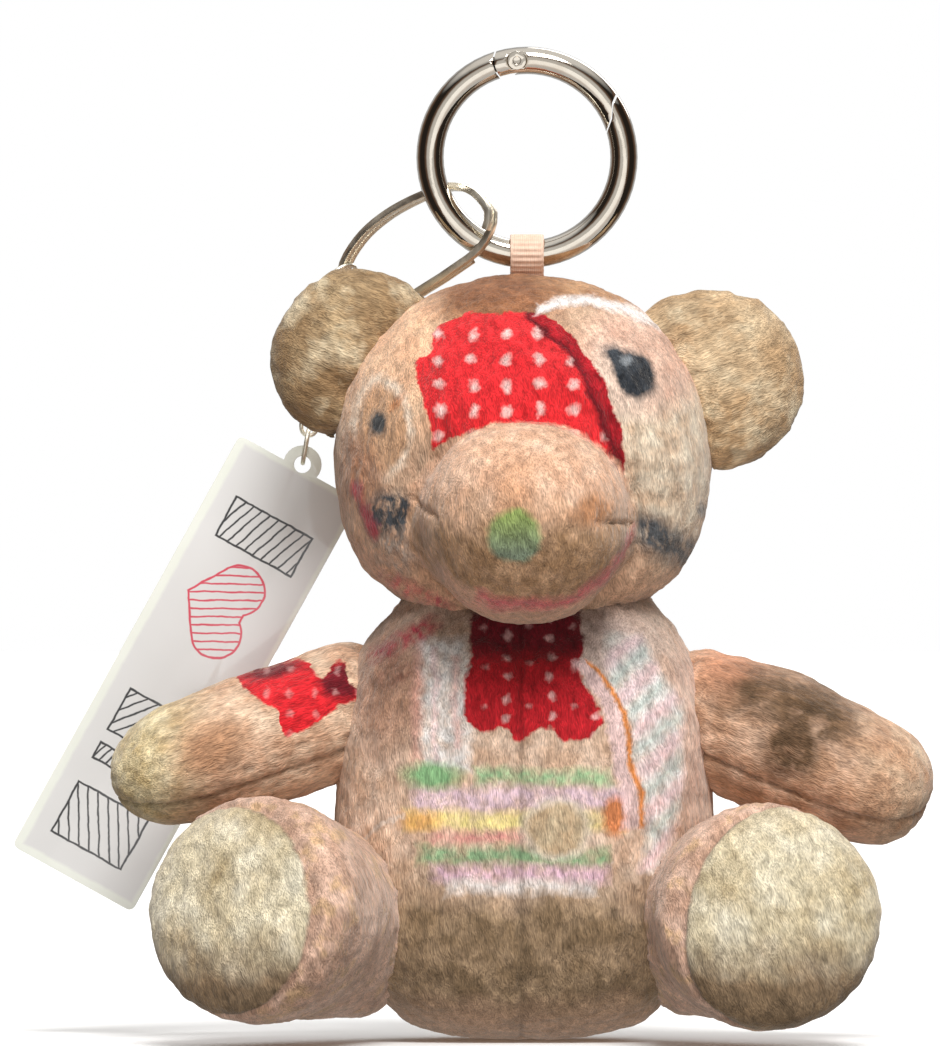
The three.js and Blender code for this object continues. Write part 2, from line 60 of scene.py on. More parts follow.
VIEW_CENTRE = Vector((-8.55, 0, -67.35)) * MM
VIEW_HEIGHT = 156.9 * MM
CAMERA_DISTANCE = 2.0


def make_camera():
    data = bpy.data.cameras.new("camera")
    data.sensor_width = 36
    data.lens = data.sensor_width * CAMERA_DISTANCE / VIEW_HEIGHT
    data.clip_start, data.clip_end = 0.1, 20
    camera = bpy.data.objects.new("camera", data)
    camera.location = VIEW_CENTRE + Vector((0, -CAMERA_DISTANCE, 0))
    camera.rotation_euler = (math.pi / 2, 0, 0)
    bpy.context.scene.collection.objects.link(camera)
    bpy.context.scene.camera = camera


make_camera()

# ---- meshes ----


def new_object(name, vertices, faces):
    mesh = bpy.data.meshes.new(name)
    mesh.from_pydata([tuple(v) for v in vertices], [], [tuple(f) for f in faces])
    mesh.update()
    obj = bpy.data.objects.new(name, mesh)
    bpy.context.scene.collection.objects.link(obj)
    return obj


def with_modifier(obj, kind, **settings):
    """Adds one modifier to obj and applies it straight away."""
    modifier = obj.modifiers.new(kind, kind)
    for key, value in settings.items():
        setattr(modifier, key, value)
    bpy.context.view_layer.update()
    made = bpy.data.meshes.new_from_object(obj.evaluated_get(bpy.context.evaluated_depsgraph_get()))
    obj.modifiers.clear()
    obj.data = made


def points_of(obj):
    place = np.empty(len(obj.data.vertices) * 3)
    obj.data.vertices.foreach_get("co", place)
    return place.reshape(-1, 3)


def normals_of(obj):
    out = np.empty(len(obj.data.vertices) * 3)
    obj.data.vertices.foreach_get("normal", out)
    return out.reshape(-1, 3)


def move_points(obj, place):
    obj.data.vertices.foreach_set("co", np.ascontiguousarray(place).ravel())
    obj.data.update()


def smooth_shaded(obj, angle=None):
    obj.data.shade_smooth()
    if angle is not None:
        obj.data.set_sharp_from_angle(angle=math.radians(angle))
    return obj


def turned_out(obj):
    """Every face of a closed mesh turned outwards."""
    shape = bmesh.new()
    shape.from_mesh(obj.data)
    bmesh.ops.recalc_face_normals(shape, faces=shape.faces)
    shape.to_mesh(obj.data)
    shape.free()
    return obj


def sweep(name, rings):
    """A tube through rings of points, each as long as the last, with a flat cap at both ends."""
    count = len(rings[0])
    vertices = [p for ring in rings for p in ring]
    last = len(vertices) - count
    faces = []
    for a in range(0, last, count):
        b = a + count
        faces += [(a + k, a + (k + 1) % count, b + (k + 1) % count, b + k) for k in range(count)]
    faces += [tuple(range(count))[::-1], tuple(range(last, len(vertices)))]
    return turned_out(new_object(name, vertices, faces))


def value_noise(points, scale, seed):
    """Smooth noise from -1 to 1 at each point, with lumps of about scale metres. scale may differ by axis."""
    cell = points / np.asarray(scale) + seed * 17.31
    low = np.floor(cell).astype(np.int64)
    part = cell - low
    part = part * part * (3 - 2 * part)
    total = np.zeros(len(points))
    for corner in np.ndindex(2, 2, 2):
        at = low + corner
        # a whole-number hash of the lattice point, from 0 to 65535 below
        mixed = (at[:, 0] * 73856093) ^ (at[:, 1] * 19349663) ^ (at[:, 2] * 83492791) ^ (seed * 2654435761)
        mixed = (mixed ^ (mixed >> 13)) * 1274126177 & 0x7FFFFFFF
        weight = np.prod(np.where(corner, part, 1 - part), axis=1)
        total += weight * ((mixed >> 7) % 65536 / 32767.5 - 1)
    return total


def grain_along(direction):
    """Axes of a pile's grain: the last one is the way the fibres lie."""
    lie = Vector(direction).normalized()
    side = lie.orthogonal().normalized()
    return [list(side), list(lie.cross(side)), list(lie)]


# ---- materials ----


def rgb(text):
    """A colour's linear values from its six hexadecimal digits."""
    parts = [int(text[i : i + 2], 16) / 255 for i in (0, 2, 4)]
    return [p / 12.92 if p <= 0.04045 else ((p + 0.055) / 1.055) ** 2.4 for p in parts]


class Value:
    """One number or colour that a material's nodes work out. Arithmetic on it adds nodes."""

    def __init__(self, paint, socket):
        self.paint, self.socket = paint, socket

    def __add__(self, other):
        return self.paint.math("ADD", self, other)

    def __sub__(self, other):
        return self.paint.math("SUBTRACT", self, other)

    def __rsub__(self, other):
        return self.paint.math("SUBTRACT", other, self)

    def __mul__(self, other):
        return self.paint.math("MULTIPLY", self, other)

    def __neg__(self):
        return self.paint.math("MULTIPLY", self, -1)

    def __abs__(self):
        return self.paint.math("ABSOLUTE", self)

    def __and__(self, other):
        return self.paint.math("MINIMUM", self, other)

    def __or__(self, other):
        return self.paint.math("MAXIMUM", self, other)


class Paint:
    """A procedural material. Places in it are millimetres in the object's own frame."""

    def __init__(self, name, **shader):
        self.material = bpy.data.materials.new(name)
        self.material.use_nodes = True
        self.tree = self.material.node_tree
        self.shader = self.tree.nodes["Principled BSDF"]
        for key, value in shader.items():
            self.shader.inputs[key.replace("_", " ")].default_value = value
        self.place = self.vector("SCALE", self.node("ShaderNodeTexCoord").outputs["Object"], scale=1000)
        self.x, self.y, self.z = self.split(self.place)

    def node(self, kind, **settings):
        made = self.tree.nodes.new(kind)
        for key, value in settings.items():
            setattr(made, key, value)
        return made

    def feed(self, socket, value):
        if isinstance(value, Value):
            self.tree.links.new(value.socket, socket)
        elif isinstance(value, bpy.types.NodeSocket):
            self.tree.links.new(value, socket)
        elif isinstance(value, str):
            socket.default_value = (*rgb(value), 1)
        else:
            socket.default_value = value

    def math(self, operation, *values, clamp=False):
        node = self.node("ShaderNodeMath", operation=operation, use_clamp=clamp)
        for socket, value in zip(node.inputs, values):
            self.feed(socket, value)
        return Value(self, node.outputs[0])

    def vector(self, operation, a, b=None, scale=None):
        node = self.node("ShaderNodeVectorMath", operation=operation)
        self.feed(node.inputs[0], a)
        if b is not None:
            self.feed(node.inputs[1], b)
        if scale is not None:
            self.feed(node.inputs["Scale"], scale)
        out = "Value" if operation in ("DOT_PRODUCT", "LENGTH", "DISTANCE") else "Vector"
        return Value(self, node.outputs[out])

    def split(self, vector):
        node = self.node("ShaderNodeSeparateXYZ")
        self.feed(node.inputs[0], vector)
        return [Value(self, socket) for socket in node.outputs]

    def joined(self, x, y, z):
        node = self.node("ShaderNodeCombineXYZ")
        for socket, value in zip(node.inputs, (x, y, z)):
            self.feed(socket, value)
        return Value(self, node.outputs[0])

    def noise(self, size, detail=2.0, place=None, colour=False, seed=0):
        """Noise from 0 to 1 whose lumps are about size millimetres."""
        node = self.node("ShaderNodeTexNoise", noise_dimensions="4D" if seed else "3D")
        self.feed(node.inputs["Vector"], self.place if place is None else place)
        node.inputs["Scale"].default_value = 1 / size
        node.inputs["Detail"].default_value = detail
        if seed:
            node.inputs["W"].default_value = seed * 7.3
        return Value(self, node.outputs["Color" if colour else "Fac"])

    def ramp(self, value, low, high, to=(0, 1)):
        """value's change from low to high spread over to, and held there."""
        node = self.node("ShaderNodeMapRange")
        for socket, item in zip(node.inputs, (value, low, high, *to)):
            self.feed(socket, item)
        return Value(self, node.outputs[0])

    def follow(self, value, points):
        """A smooth curve through points, each an input and its output, with the inputs rising."""
        outputs = [b for _, b in points]
        first, last, low, high = points[0][0], points[-1][0], min(outputs), max(outputs)
        if high == low:
            return low
        node = self.node("ShaderNodeFloatCurve")
        curve = node.mapping.curves[0]
        places = [((a - first) / (last - first), (b - low) / (high - low)) for a, b in points]
        curve.points[0].location, curve.points[1].location = places[0], places[-1]
        for place in places[1:-1]:
            curve.points.new(*place)
        for point in curve.points:
            point.handle_type = "AUTO_CLAMPED"
        node.mapping.update()
        self.feed(node.inputs["Value"], self.ramp(value, first, last))
        return Value(self, node.outputs[0]) * (high - low) + low

    def mix(self, share, a, b):
        """Colour a where share is 0, and b where it is 1."""
        node = self.node("ShaderNodeMix", data_type="RGBA")
        for index, value in ((0, share), (6, a), (7, b)):
            self.feed(node.inputs[index], value)
        return Value(self, node.outputs[2])

    def shade(self, colour, by):
        """colour made darker or lighter by a factor."""
        return self.vector("SCALE", colour, scale=by)

    def bump(self, height, distance, strength=1.0):
        node = self.node("ShaderNodeBump")
        node.inputs["Distance"].default_value = distance * MM
        node.inputs["Strength"].default_value = strength
        self.feed(node.inputs["Height"], height)
        self.tree.links.new(node.outputs["Normal"], self.shader.inputs["Normal"])

    def finish(self, colour=None, roughness=None):
        if colour is not None:
            self.feed(self.shader.inputs["Base Color"], colour)
        if roughness is not None:
            self.feed(self.shader.inputs["Roughness"], roughness)
        return self.material


class Print:
    """Printed shapes seen from the front, on a fabric's warped places, so that their edges wander."""

    def __init__(self, paint, x, z, front=None):
        self.paint, self.x, self.z, self.front = paint, x, z, front

    def mask(self, inside, soft):
        if self.front is not None:
            inside = inside & self.front
        return self.paint.math("MULTIPLY_ADD", inside, 1 / soft, 0.5, clamp=True)

    def oval(self, x, z, reach_x, reach_z, turn=0, soft=0.4):
        cos, sin = math.cos(math.radians(turn)), math.sin(math.radians(turn))
        u, v = self.x - x, self.z - z
        if turn:
            u, v = u * cos + v * sin, v * cos - u * sin
        u, v = u * (1 / reach_x), v * (1 / reach_z)
        near = 1 - self.paint.math("SQRT", u * u + v * v)
        return self.mask(near * min(reach_x, reach_z), soft)

    def between(self, left, right, soft=0.4):
        """Between two edges, each a list of (height, x) points with the heights rising."""
        low, high = max(left[0][0], right[0][0]), min(left[-1][0], right[-1][0])
        inside = (self.x - self.paint.follow(self.z, left)) & (self.paint.follow(self.z, right) - self.x)
        return self.mask(inside & (self.z - low) & (high - self.z), soft)

    def upright(self, points, width, soft=0.4):
        """A line of some width along (height, x) points."""
        away = abs(self.x - self.paint.follow(self.z, points))
        inside = (width / 2 - away) & (self.z - points[0][0]) & (points[-1][0] - self.z)
        return self.mask(inside, soft)

    def level(self, points, width, soft=0.4):
        """A line of some width along (x, height) points."""
        away = abs(self.z - self.paint.follow(self.x, points))
        inside = (width / 2 - away) & (self.x - points[0][0]) & (points[-1][0] - self.x)
        return self.mask(inside, soft)

    def box(self, left, low, right, high, soft=0.4):
        inside = (self.x - left) & (right - self.x) & (self.z - low) & (high - self.z)
        return self.mask(inside, soft)

    def dots(self, x, z, step_x, step_z, radius, soft=0.35):
        """Round dots in rows and columns, one of them at x, z."""
        apart = [
            abs(self.paint.math("WRAP", self.x - x, step_x / 2, -step_x / 2)),
            abs(self.paint.math("WRAP", self.z - z, step_z / 2, -step_z / 2)),
        ]
        away = self.paint.math("SQRT", apart[0] * apart[0] + apart[1] * apart[1])
        return self.mask(radius - away, soft)


def squared(value, reach):
    return (value * (1 / reach)) * (value * (1 / reach))


def pile(name, lie, printed, front, seams):
    """Short pile fabric: printed(paint, shapes) gives its colour, under the lie and mottling of its fibres.

    Printed shapes show where Y is below front, in millimetres. A seam is a point and a normal of its plane.
    """
    paint = Paint(name, Sheen_Weight=0.35, Sheen_Roughness=0.45, Specular_IOR_Level=0.15)
    wander = paint.vector("SUBTRACT", paint.noise(5.0, 3, colour=True), (0.5, 0.5, 0.5))
    frayed = paint.vector("SUBTRACT", paint.noise(0.9, 2, colour=True), (0.5, 0.5, 0.5))
    moved = paint.vector("ADD", paint.place, paint.vector("SCALE", wander, scale=2.2))
    moved = paint.vector("ADD", moved, paint.vector("SCALE", frayed, scale=1.1))
    x, y, z = paint.split(moved)
    colour = printed(paint, Print(paint, x, z, front - paint.y))
    # fibres: noise drawn out along the way the pile lies, which wanders a little
    swirl = paint.vector("ADD", paint.place, paint.vector("SCALE", wander, scale=1.6))
    u, v, along = (paint.vector("DOT_PRODUCT", swirl, tuple(axis)) for axis in grain_along(lie))
    fibre = paint.noise(0.2, 1, place=paint.joined(u, v, along * 0.16))
    tuft = paint.noise(1.0, 4, place=paint.joined(u, v, along * 0.42), seed=1)
    cloud = paint.noise(6.0, 3, seed=2)
    tone = paint.ramp(fibre, 0.3, 0.7, (0.68, 1.27)) * paint.ramp(tuft, 0.3, 0.7, (0.66, 1.25))
    tone = tone * paint.ramp(cloud, 0.3, 0.7, (0.90, 1.08))
    # a dark thread line, broken here and there, in a slightly shaded fold
    for point, normal in seams:
        normal = Vector(normal).normalized()
        away = paint.vector("DOT_PRODUCT", paint.place, tuple(normal)) - Vector(point).dot(normal)
        away = abs(away + (tuft - 0.5) * 0.5)
        dark = paint.ramp(away, 0.05, 0.5, (0.3, 0)) * paint.ramp(cloud, 0.35, 0.6, (0.3, 1))
        tone = tone * (1 - dark) * paint.ramp(away, 0.3, 2.2, (0.9, 1))
    paint.shader.inputs["Sheen Tint"].default_value = (1, 0.93, 0.85, 1)
    paint.bump(fibre * 0.6 + tuft, 0.45, 0.8)
    return paint.finish(paint.shade(colour, tone), paint.ramp(tuft, 0.2, 0.8, (0.95, 0.8)))


def mottled(paint, light, dark, size, share=0.5, seed=3):
    """Two colours in soft clouds, with dark over about share of the surface."""
    cloud = paint.noise(size * 1.25, 3, seed=seed)
    return paint.mix(paint.ramp(cloud, share - 0.1, share + 0.22), dark, light)


def head_print(paint, on):
    colour = mottled(paint, "dcbfa3", "c29c80", 4)
    forehead = mottled(paint, "f8cfaa", "eab893", 3, seed=17)
    colour = paint.mix(on.oval(-18, -40, 13, 14, soft=8), colour, forehead)
    cheek = mottled(paint, "eee2cb", "d3b89c", 2.6, seed=4)
    colour = paint.mix(on.oval(22, -56, 16, 17, soft=8), colour, cheek)
    round_right_eye = mottled(paint, "ecc8b2", "d9ae97", 3, seed=18)
    colour = paint.mix(on.oval(17, -43, 10, 8, soft=4), colour, round_right_eye)
    # the head's lower part round the muzzle painted darker: painted shade under the muzzle
    colour = paint.mix(on.oval(-8, -75, 26, 9, soft=8), colour, "c39a7d")
    # brown crown above the patch and the pale arc
    edge = [(-14, -33), (-10.5, -36.5), (0, -35.6), (5, -34), (12.5, -34.6), (22, -38.4), (28, -45)]
    crown = on.mask((on.z - paint.follow(on.x, edge)) & (on.x + 12), 3)
    colour = paint.mix(crown, colour, mottled(paint, "c99a70", "ab7b56", 3, seed=5))
    crown_stain = mottled(paint, "a87350", "86583b", 2.4, seed=5)
    colour = paint.mix(on.oval(-5, -33.5, 9, 4.8, 0, 4), colour, crown_stain)
    colour = paint.mix(on.oval(14, -46.4, 5.6, 4.2, -48, 3) * 0.7, colour, "e6cfbd")
    # the dotted patch over one eye, with a fold down its right side
    left = [(-60, -14.5), (-55, -14), (-50.8, -15.2), (-47.8, -15.8), (-43.9, -16.8)]
    left += [(-41.8, -14.5), (-38.6, -13.6), (-37, -11), (-35.4, -6)]
    right = [(-59.8, 14.3), (-54, 14), (-49.7, 12.4), (-45.9, 10.9)]
    right += [(-42.8, 9), (-39.5, 7), (-36.8, 3), (-35.7, 1.2)]
    lower = [(-17.5, -58), (-13.7, -56.2), (-8.1, -53.8), (-2.8, -52.4)]
    lower += [(3, -52.8), (6.8, -54.2), (11, -57.4), (14.5, -61.4)]
    sides = (on.x - paint.follow(on.z, left)) & (paint.follow(on.z, right) - on.x)
    patch = on.mask(sides & (on.z - paint.follow(on.x, lower)) & (-35.9 - on.z), 0.4)
    red = paint.mix(paint.noise(3, 3, seed=6), "d81f27", "e6353a")
    dots = on.dots(-3.2, -43, 4.95, 3.8, 0.72, 0.85) & paint.ramp(on.z, -37, -38)
    red = paint.mix(dots * 0.9, red, "f3cdc6")
    # beyond the fold a darker crimson, and a dark line along its crease: painted shade of a fold that the
    # mesh doesn't have
    crease = [(-58, 13.2), (-54, 11.8), (-50.8, 10.6), (-48.5, 9.1)]
    crease += [(-45.5, 8.5), (-42, 6.4), (-39.3, 3), (-37, 0.2)]
    fold = on.x - paint.follow(on.z, crease)
    red = paint.mix(on.mask(fold, 0.8), red, mottled(paint, "c4202c", "94141f", 1.6, seed=7))
    red = paint.mix(on.mask(0.55 - abs(fold), 0.9), red, "6f0f1b")
    colour = paint.mix(patch, colour, red)
    arc = [(1.2, -35.6), (4.9, -34.3), (8.7, -34.2), (12.5, -34.9), (16.4, -36.2), (20.6, -38), (23.5, -41)]
    colour = paint.mix(on.level(arc, 1.5, 1.0), colour, "f4ebe6")
    # eyes, the left one in a pale ring
    right_eye = mottled(paint, "40454b", "20242a", 1.2, seed=8)
    colour = paint.mix(on.oval(15.8, -45.2, 4.0, 2.9, -56, 1.0), colour, right_eye)
    colour = paint.mix(on.oval(13.6, -43, 2.6, 1.5, -40, 1.0), colour, "3a3f45")
    # a painted glint on the right eye
    colour = paint.mix(on.oval(14.5, -43, 0.8, 0.9, 0, 0.7), colour, "8d9296")
    from_ring = paint.math("SQRT", squared(on.x + 21.7, 4.2) + squared(on.z + 53.1, 7.3)) - 1
    ring = on.mask(0.45 - abs(from_ring) * 4.4, 0.9)
    colour = paint.mix(on.oval(-21.7, -53.1, 4.2, 7.3, 0, 2) * 0.7, colour, "c99b74")
    ring = ring * paint.ramp(paint.noise(3, 2, seed=14), 0.35, 0.55, (0.4, 0.95))
    colour = paint.mix(ring, colour, "f0dcc6")
    left_eye = mottled(paint, "5d5f60", "35383b", 1.0, seed=15)
    colour = paint.mix(on.oval(-22.1, -52.6, 1.2, 2.0, 0, 0.9), colour, left_eye)
    colour = paint.mix(on.oval(-19.4, -49.0, 1.6, 0.6, 50, 0.7) * 0.7, colour, "d98a52")
    colour = paint.mix(on.oval(-25.4, -58, 1.2, 3.4, 12, 1.6) * 0.7, colour, "c98558")
    # cheeks
    colour = paint.mix(on.oval(-25, -60.5, 3.6, 6, 10, 3) * 0.8, colour, "a87556")
    streak = paint.noise(0.8, 3, place=paint.joined(on.x, 0.0, on.z * 0.4), seed=9)
    thin = paint.ramp(streak, 0.36, 0.6)
    colour = paint.mix(on.oval(-20, -70.5, 3.4, 4.8, 10, 3) * thin * 0.8, colour, "8f867e")
    smudge = on.oval(-20.2, -65.9, 3.7, 3.2, 10, 2) * paint.ramp(streak, 0.28, 0.52)
    colour = paint.mix(smudge, colour, "43464a")
    for x, z, turn in ((-25.3, -62.8, 20), (-24, -65.6, 15), (-23.2, -68, 10)):
        colour = paint.mix(on.oval(x, z, 0.9, 1.5, turn, 0.9) * 0.85, colour, "a23243")
    for x, z in ((-18.5, -77), (-13, -79.5), (-9, -78)):
        colour = paint.mix(on.oval(x, z, 3.0, 1.0, -30, 1.4) * thin, colour, "c26060")
    blot = on.oval(19.6, -69.6, 5.8, 2.7, -30, 2.6) | on.oval(24.2, -71.6, 3.8, 2.2, -10, 2.2)
    colour = paint.mix(blot * paint.ramp(streak, 0.26, 0.52, (0.3, 1)), colour, "54575a")
    colour = paint.mix(on.oval(26, -65.4, 0.6, 1.0, 0, 0.8), colour, "77736e")
    # muzzle
    muzzle = on.oval(-0.7, -66.6, 16.9, 14.3, 0, 1.0)
    fur = mottled(paint, "f0caae", "dcae8f", 2.4, seed=10)
    # painted shade: the muzzle's lower part is darker, as it faces away from the light above
    lower = paint.ramp(on.z + (paint.noise(4, 3, seed=16) - 0.5) * 9, -62, -70)
    fur = paint.mix(lower, fur, mottled(paint, "cca583", "a5815f", 1.8, seed=11))
    fur = paint.mix(on.oval(9.5, -65.4, 3, 2.2, 20, 2) * 0.8, fur, "c4885c")
    fur = paint.mix(on.oval(-2, -62.5, 2.5, 4, 0, 3) * 0.6, fur, "c9936d")
    rim = [(-13.5, -74), (-8.5, -78.4), (-3, -80.3), (4, -80.3), (9, -78.2), (13.5, -73.4), (16, -69)]
    fur = paint.mix(on.level(rim, 2.0, 1.2) * 0.5, fur, "dcae98")
    smile = [(-7.5, -78.2), (-3, -79.4), (4, -79.4), (9, -77.2), (13.2, -73), (15.6, -68.5)]
    smile = on.level(smile, 1.7, 1.6)
    fur = paint.mix(smile * paint.ramp(streak, 0.25, 0.5, (0.3, 0.9)), fur, "d2606a")
    nose = paint.mix(paint.ramp(on.z, -66.5, -72), "93a660", "83917a")
    fur = paint.mix(on.oval(-2, -69.4, 4.1, 3.9, 0, 1.1), fur, nose)
    return paint.mix(muzzle, colour, fur)


def torso_print(paint, on):
    colour = mottled(paint, "e8cfba", "c8a78d", 3.4)
    belly = paint.ramp(on.z + (paint.noise(6, 3, seed=19) - 0.5) * 10, -116, -126)
    colour = paint.mix(belly, colour, mottled(paint, "b3987a", "866f54", 3, seed=4))
    left_side = mottled(paint, "b58c74", "8c6650", 3, seed=20)
    colour = paint.mix(on.oval(-21, -92, 6, 10, 0, 5) * 0.85, colour, left_side)
    right_side = mottled(paint, "e3c6b4", "c7a593", 3, seed=21)
    colour = paint.mix(on.oval(24, -98, 6, 14, 0, 5), colour, right_side)
    # pale stripes, worn thin
    worn = paint.ramp(paint.noise(1.6, 3, seed=12), 0.3, 0.6, (0.35, 0.95))
    stripe = on.upright([(-104.4, -12.2), (-94, -12), (-84.5, -12.6)], 7, 1.6)
    colour = paint.mix(stripe * worn, colour, "e6e2de")
    for low, high, width, soft, share, tint in (
        ((-103, -16.6), (-85.5, -16), 1.4, 1.2, 0.45, "d59a90"),
        ((-101, -10.6), (-87, -10.8), 1.0, 0.9, 0.6, "e2b3ac"),
        ((-103, -13.6), (-86, -13.8), 0.8, 0.8, 0.5, "dcb3b4"),
    ):
        colour = paint.mix(on.upright([low, high], width, soft) * share, colour, tint)
    colour = paint.mix(on.oval(12, -85, 7, 5, 0, 4) * 0.7, colour, "e3cdc4")
    slant = paint.math("WRAP", on.x * 0.66 - on.z * 0.75, 5.2, 0.0)
    side = on.between(
        [(-119, 16.6), (-112, 17.6), (-104, 16.7), (-96, 14.8), (-90, 12), (-84, 12)],
        [(-119, 19.5), (-110, 22.6), (-98, 23), (-90, 20), (-84, 17)],
        1.8,
    )
    colour = paint.mix(side * worn, colour, "e6e0de")
    colour = paint.mix(side * on.mask(0.9 - abs(slant - 1.2), 1.6) * 0.6, colour, "e6bfc4")
    colour = paint.mix(side * on.mask(0.8 - abs(slant - 3.7), 1.6) * 0.7, colour, "b4c6bd")
    for low, high, left, right, tint in (
        (-106.2, -104.1, -7.7, 12.4, "9dc293"),
        (-109.8, -106.6, -17, 15, "dfc3cf"),
        (-112.9, -110.1, -18, 14, "ead98d"),
        (-115, -113.2, -14.2, 0.5, "dc978e"),
        (-118.2, -115.7, -16, 12, "88ad82"),
        (-120.8, -118.5, -14, 12, "dfb9ca"),
        (-122.4, -120.6, -12, 10, "ebe3de"),
    ):
        colour = paint.mix(on.box(left, low, right, high, 1.6) * worn, colour, tint)
    colour = paint.mix(on.oval(-14.3, -104.9, 4, 1.8, 0, 1.6), colour, "84b07e")
    colour = paint.mix(on.oval(-16, -111.6, 3, 1.5, 0, 1.4) * 0.7, colour, "e2a155")
    colour = paint.mix(on.oval(4.2, -112.7, 5.2, 4.6, 0, 1.4) * 0.8, colour, "ddd2c0")
    disc = mottled(paint, "d3bf9e", "bfa584", 1.6, seed=13)
    colour = paint.mix(on.oval(4.2, -112.7, 4.3, 3.7, 0, 1.4), colour, disc)
    colour = paint.mix(on.oval(13, -110.9, 1.9, 2.9, 0, 1.1), colour, "c97e51")
    patchy = paint.ramp(paint.noise(1.4, 3, seed=23), 0.35, 0.6, (0.2, 1))
    seat = paint.ramp(on.z + (paint.noise(6, 3, seed=24) - 0.5) * 6, -137, -142)
    colour = paint.mix(seat, colour, "c4a085")
    # the dotted patch at the neck
    lower = [(-10, -94), (-8.6, -97.4), (-6, -98.6), (-3.4, -97.6), (-1.1, -99.8)]
    lower += [(1, -98.8), (2.9, -98), (5.6, -99.6), (8.7, -99.4), (11.2, -97.2)]
    left = [(-99, -9), (-92.4, -9.3), (-88.4, -8.7), (-84, -8.4), (-79, -8.4)]
    right = [(-99, 11.6), (-96.7, 11), (-91.3, 8.8), (-88.7, 7.6), (-86.9, 8.2), (-79, 7.6)]
    sides = (on.x - paint.follow(on.z, left)) & (paint.follow(on.z, right) - on.x)
    patch = sides & (on.z - paint.follow(on.x, lower)) & (-80.5 - on.z)
    red = paint.mix(paint.noise(2, 3, seed=6), "a8161f", "cf2630")
    # the patch's top painted darker red: painted shadow under the chin
    red = paint.mix(paint.ramp(on.z, -88.5, -85.5), red, "7a1522")
    red = paint.mix(on.dots(-3.1, -93.2, 6.6, 3, 0.6, 0.6) * 0.8, red, "e6b4b0")
    red = paint.mix(on.dots(0.2, -94.7, 6.6, 6, 0.4, 0.6) * 0.5, red, "e6b4b0")
    colour = paint.mix(on.mask(patch, 0.6), colour, red)
    # painted shadow under the chin: the pile is darkened where the head shades it
    colour = paint.mix(on.oval(-1, -82, 21, 9, 0, 8) * 0.75, colour, paint.shade(colour, 0.42))
    curve = [(-112.7, 16.8), (-109.8, 17), (-103.6, 15.9), (-96.3, 14.1), (-91.3, 11.9), (-88, 9.4)]
    inner = [(a, b - 1.6) for a, b in curve]
    colour = paint.mix(on.upright(inner, 2.4, 0.9) * 0.8, colour, "e6c7c6")
    colour = paint.mix(on.upright(curve, 0.9, 0.6), colour, "d98a4e")
    for x, z, wide, tint in (
        (-20.6, -86, 3.0, "862735"),
        (-16.6, -83.6, 3.2, "9a3440"),
        (-19.4, -89.6, 3.4, "7d5747"),
    ):
        colour = paint.mix(on.oval(x, z, wide, 1.5, 25, 1.6) * patchy, colour, tint)
    scratch = on.level([(-24.4, -115), (-21, -112), (-18.3, -111)], 0.6, 0.6)
    colour = paint.mix(scratch * 0.7, colour, "e5d8cc")
    return colour


def arm_left_print(paint, on):
    colour = mottled(paint, "e8cdb2", "c7a083", 3)
    colour = paint.mix(paint.ramp(on.x, -46, -56), colour, mottled(paint, "eadcb6", "bda679", 2.4, seed=4))
    colour = paint.mix(on.oval(-47, -101, 5, 4, 30, 4), colour, "b38868")
    high = [(-43.5, -90), (-38, -88.6), (-34.1, -87.6), (-30.8, -90.3)]
    high += [(-28.4, -88.2), (-26.3, -90.9), (-24, -93)]
    low = [(-43.5, -90.4), (-39.8, -93.9), (-36.9, -95.7), (-35.8, -98.9)]
    low += [(-33.6, -98.3), (-29.6, -95.7), (-24, -93.2)]
    patch = (paint.follow(on.x, high) - on.z) & (on.z - paint.follow(on.x, low))
    patch = patch & (on.x + 43.3) & (-24.2 - on.x)
    red = paint.mix(paint.noise(2, 3, seed=6), "c81a24", "e02c34")
    dark = on.oval(-27.5, -91, 3.4, 2.6, 0, 1.6) | on.oval(-38.5, -89.3, 4.5, 1.5, 10, 1.4)
    red = paint.mix(dark, red, "6f1420")
    red = paint.mix(on.dots(-35.4, -92.6, 3.6, 3.2, 0.5, 0.6) * 0.4, red, "e0aca8")
    return paint.mix(on.mask(patch, 0.5), colour, red)


def arm_right_print(paint, on):
    colour = mottled(paint, "e3c0a6", "bc9477", 3)
    colour = paint.mix(on.oval(30.8, -89, 5, 4, 0, 4), colour, "cb9272")
    patchy = paint.ramp(paint.noise(3.4, 3, seed=5), 0.25, 0.5, (0.35, 1))
    stain = on.oval(42, -95.2, 9.5, 6, -20, 6) | on.oval(39.6, -100.6, 5, 4.6, 0, 4)
    stain = stain | on.oval(34.4, -92.4, 5.5, 3.4, 0, 5)
    colour = paint.mix(stain * patchy, colour, mottled(paint, "7b5f47", "594430", 2.6, seed=4))
    return paint.mix(paint.ramp(on.x, 48, 56), colour, mottled(paint, "e0c4a6", "b98f70", 3, seed=5))


def ear_print(paint, light, dark):
    colour = mottled(paint, light, dark, 7)
    colour = paint.mix(paint.ramp(paint.noise(4.5, 4, seed=4), 0.48, 0.7) * 0.8, colour, "eadbbb")
    return paint.mix(paint.ramp(paint.noise(7, 4, seed=22), 0.5, 0.66) * 0.8, colour, dark)


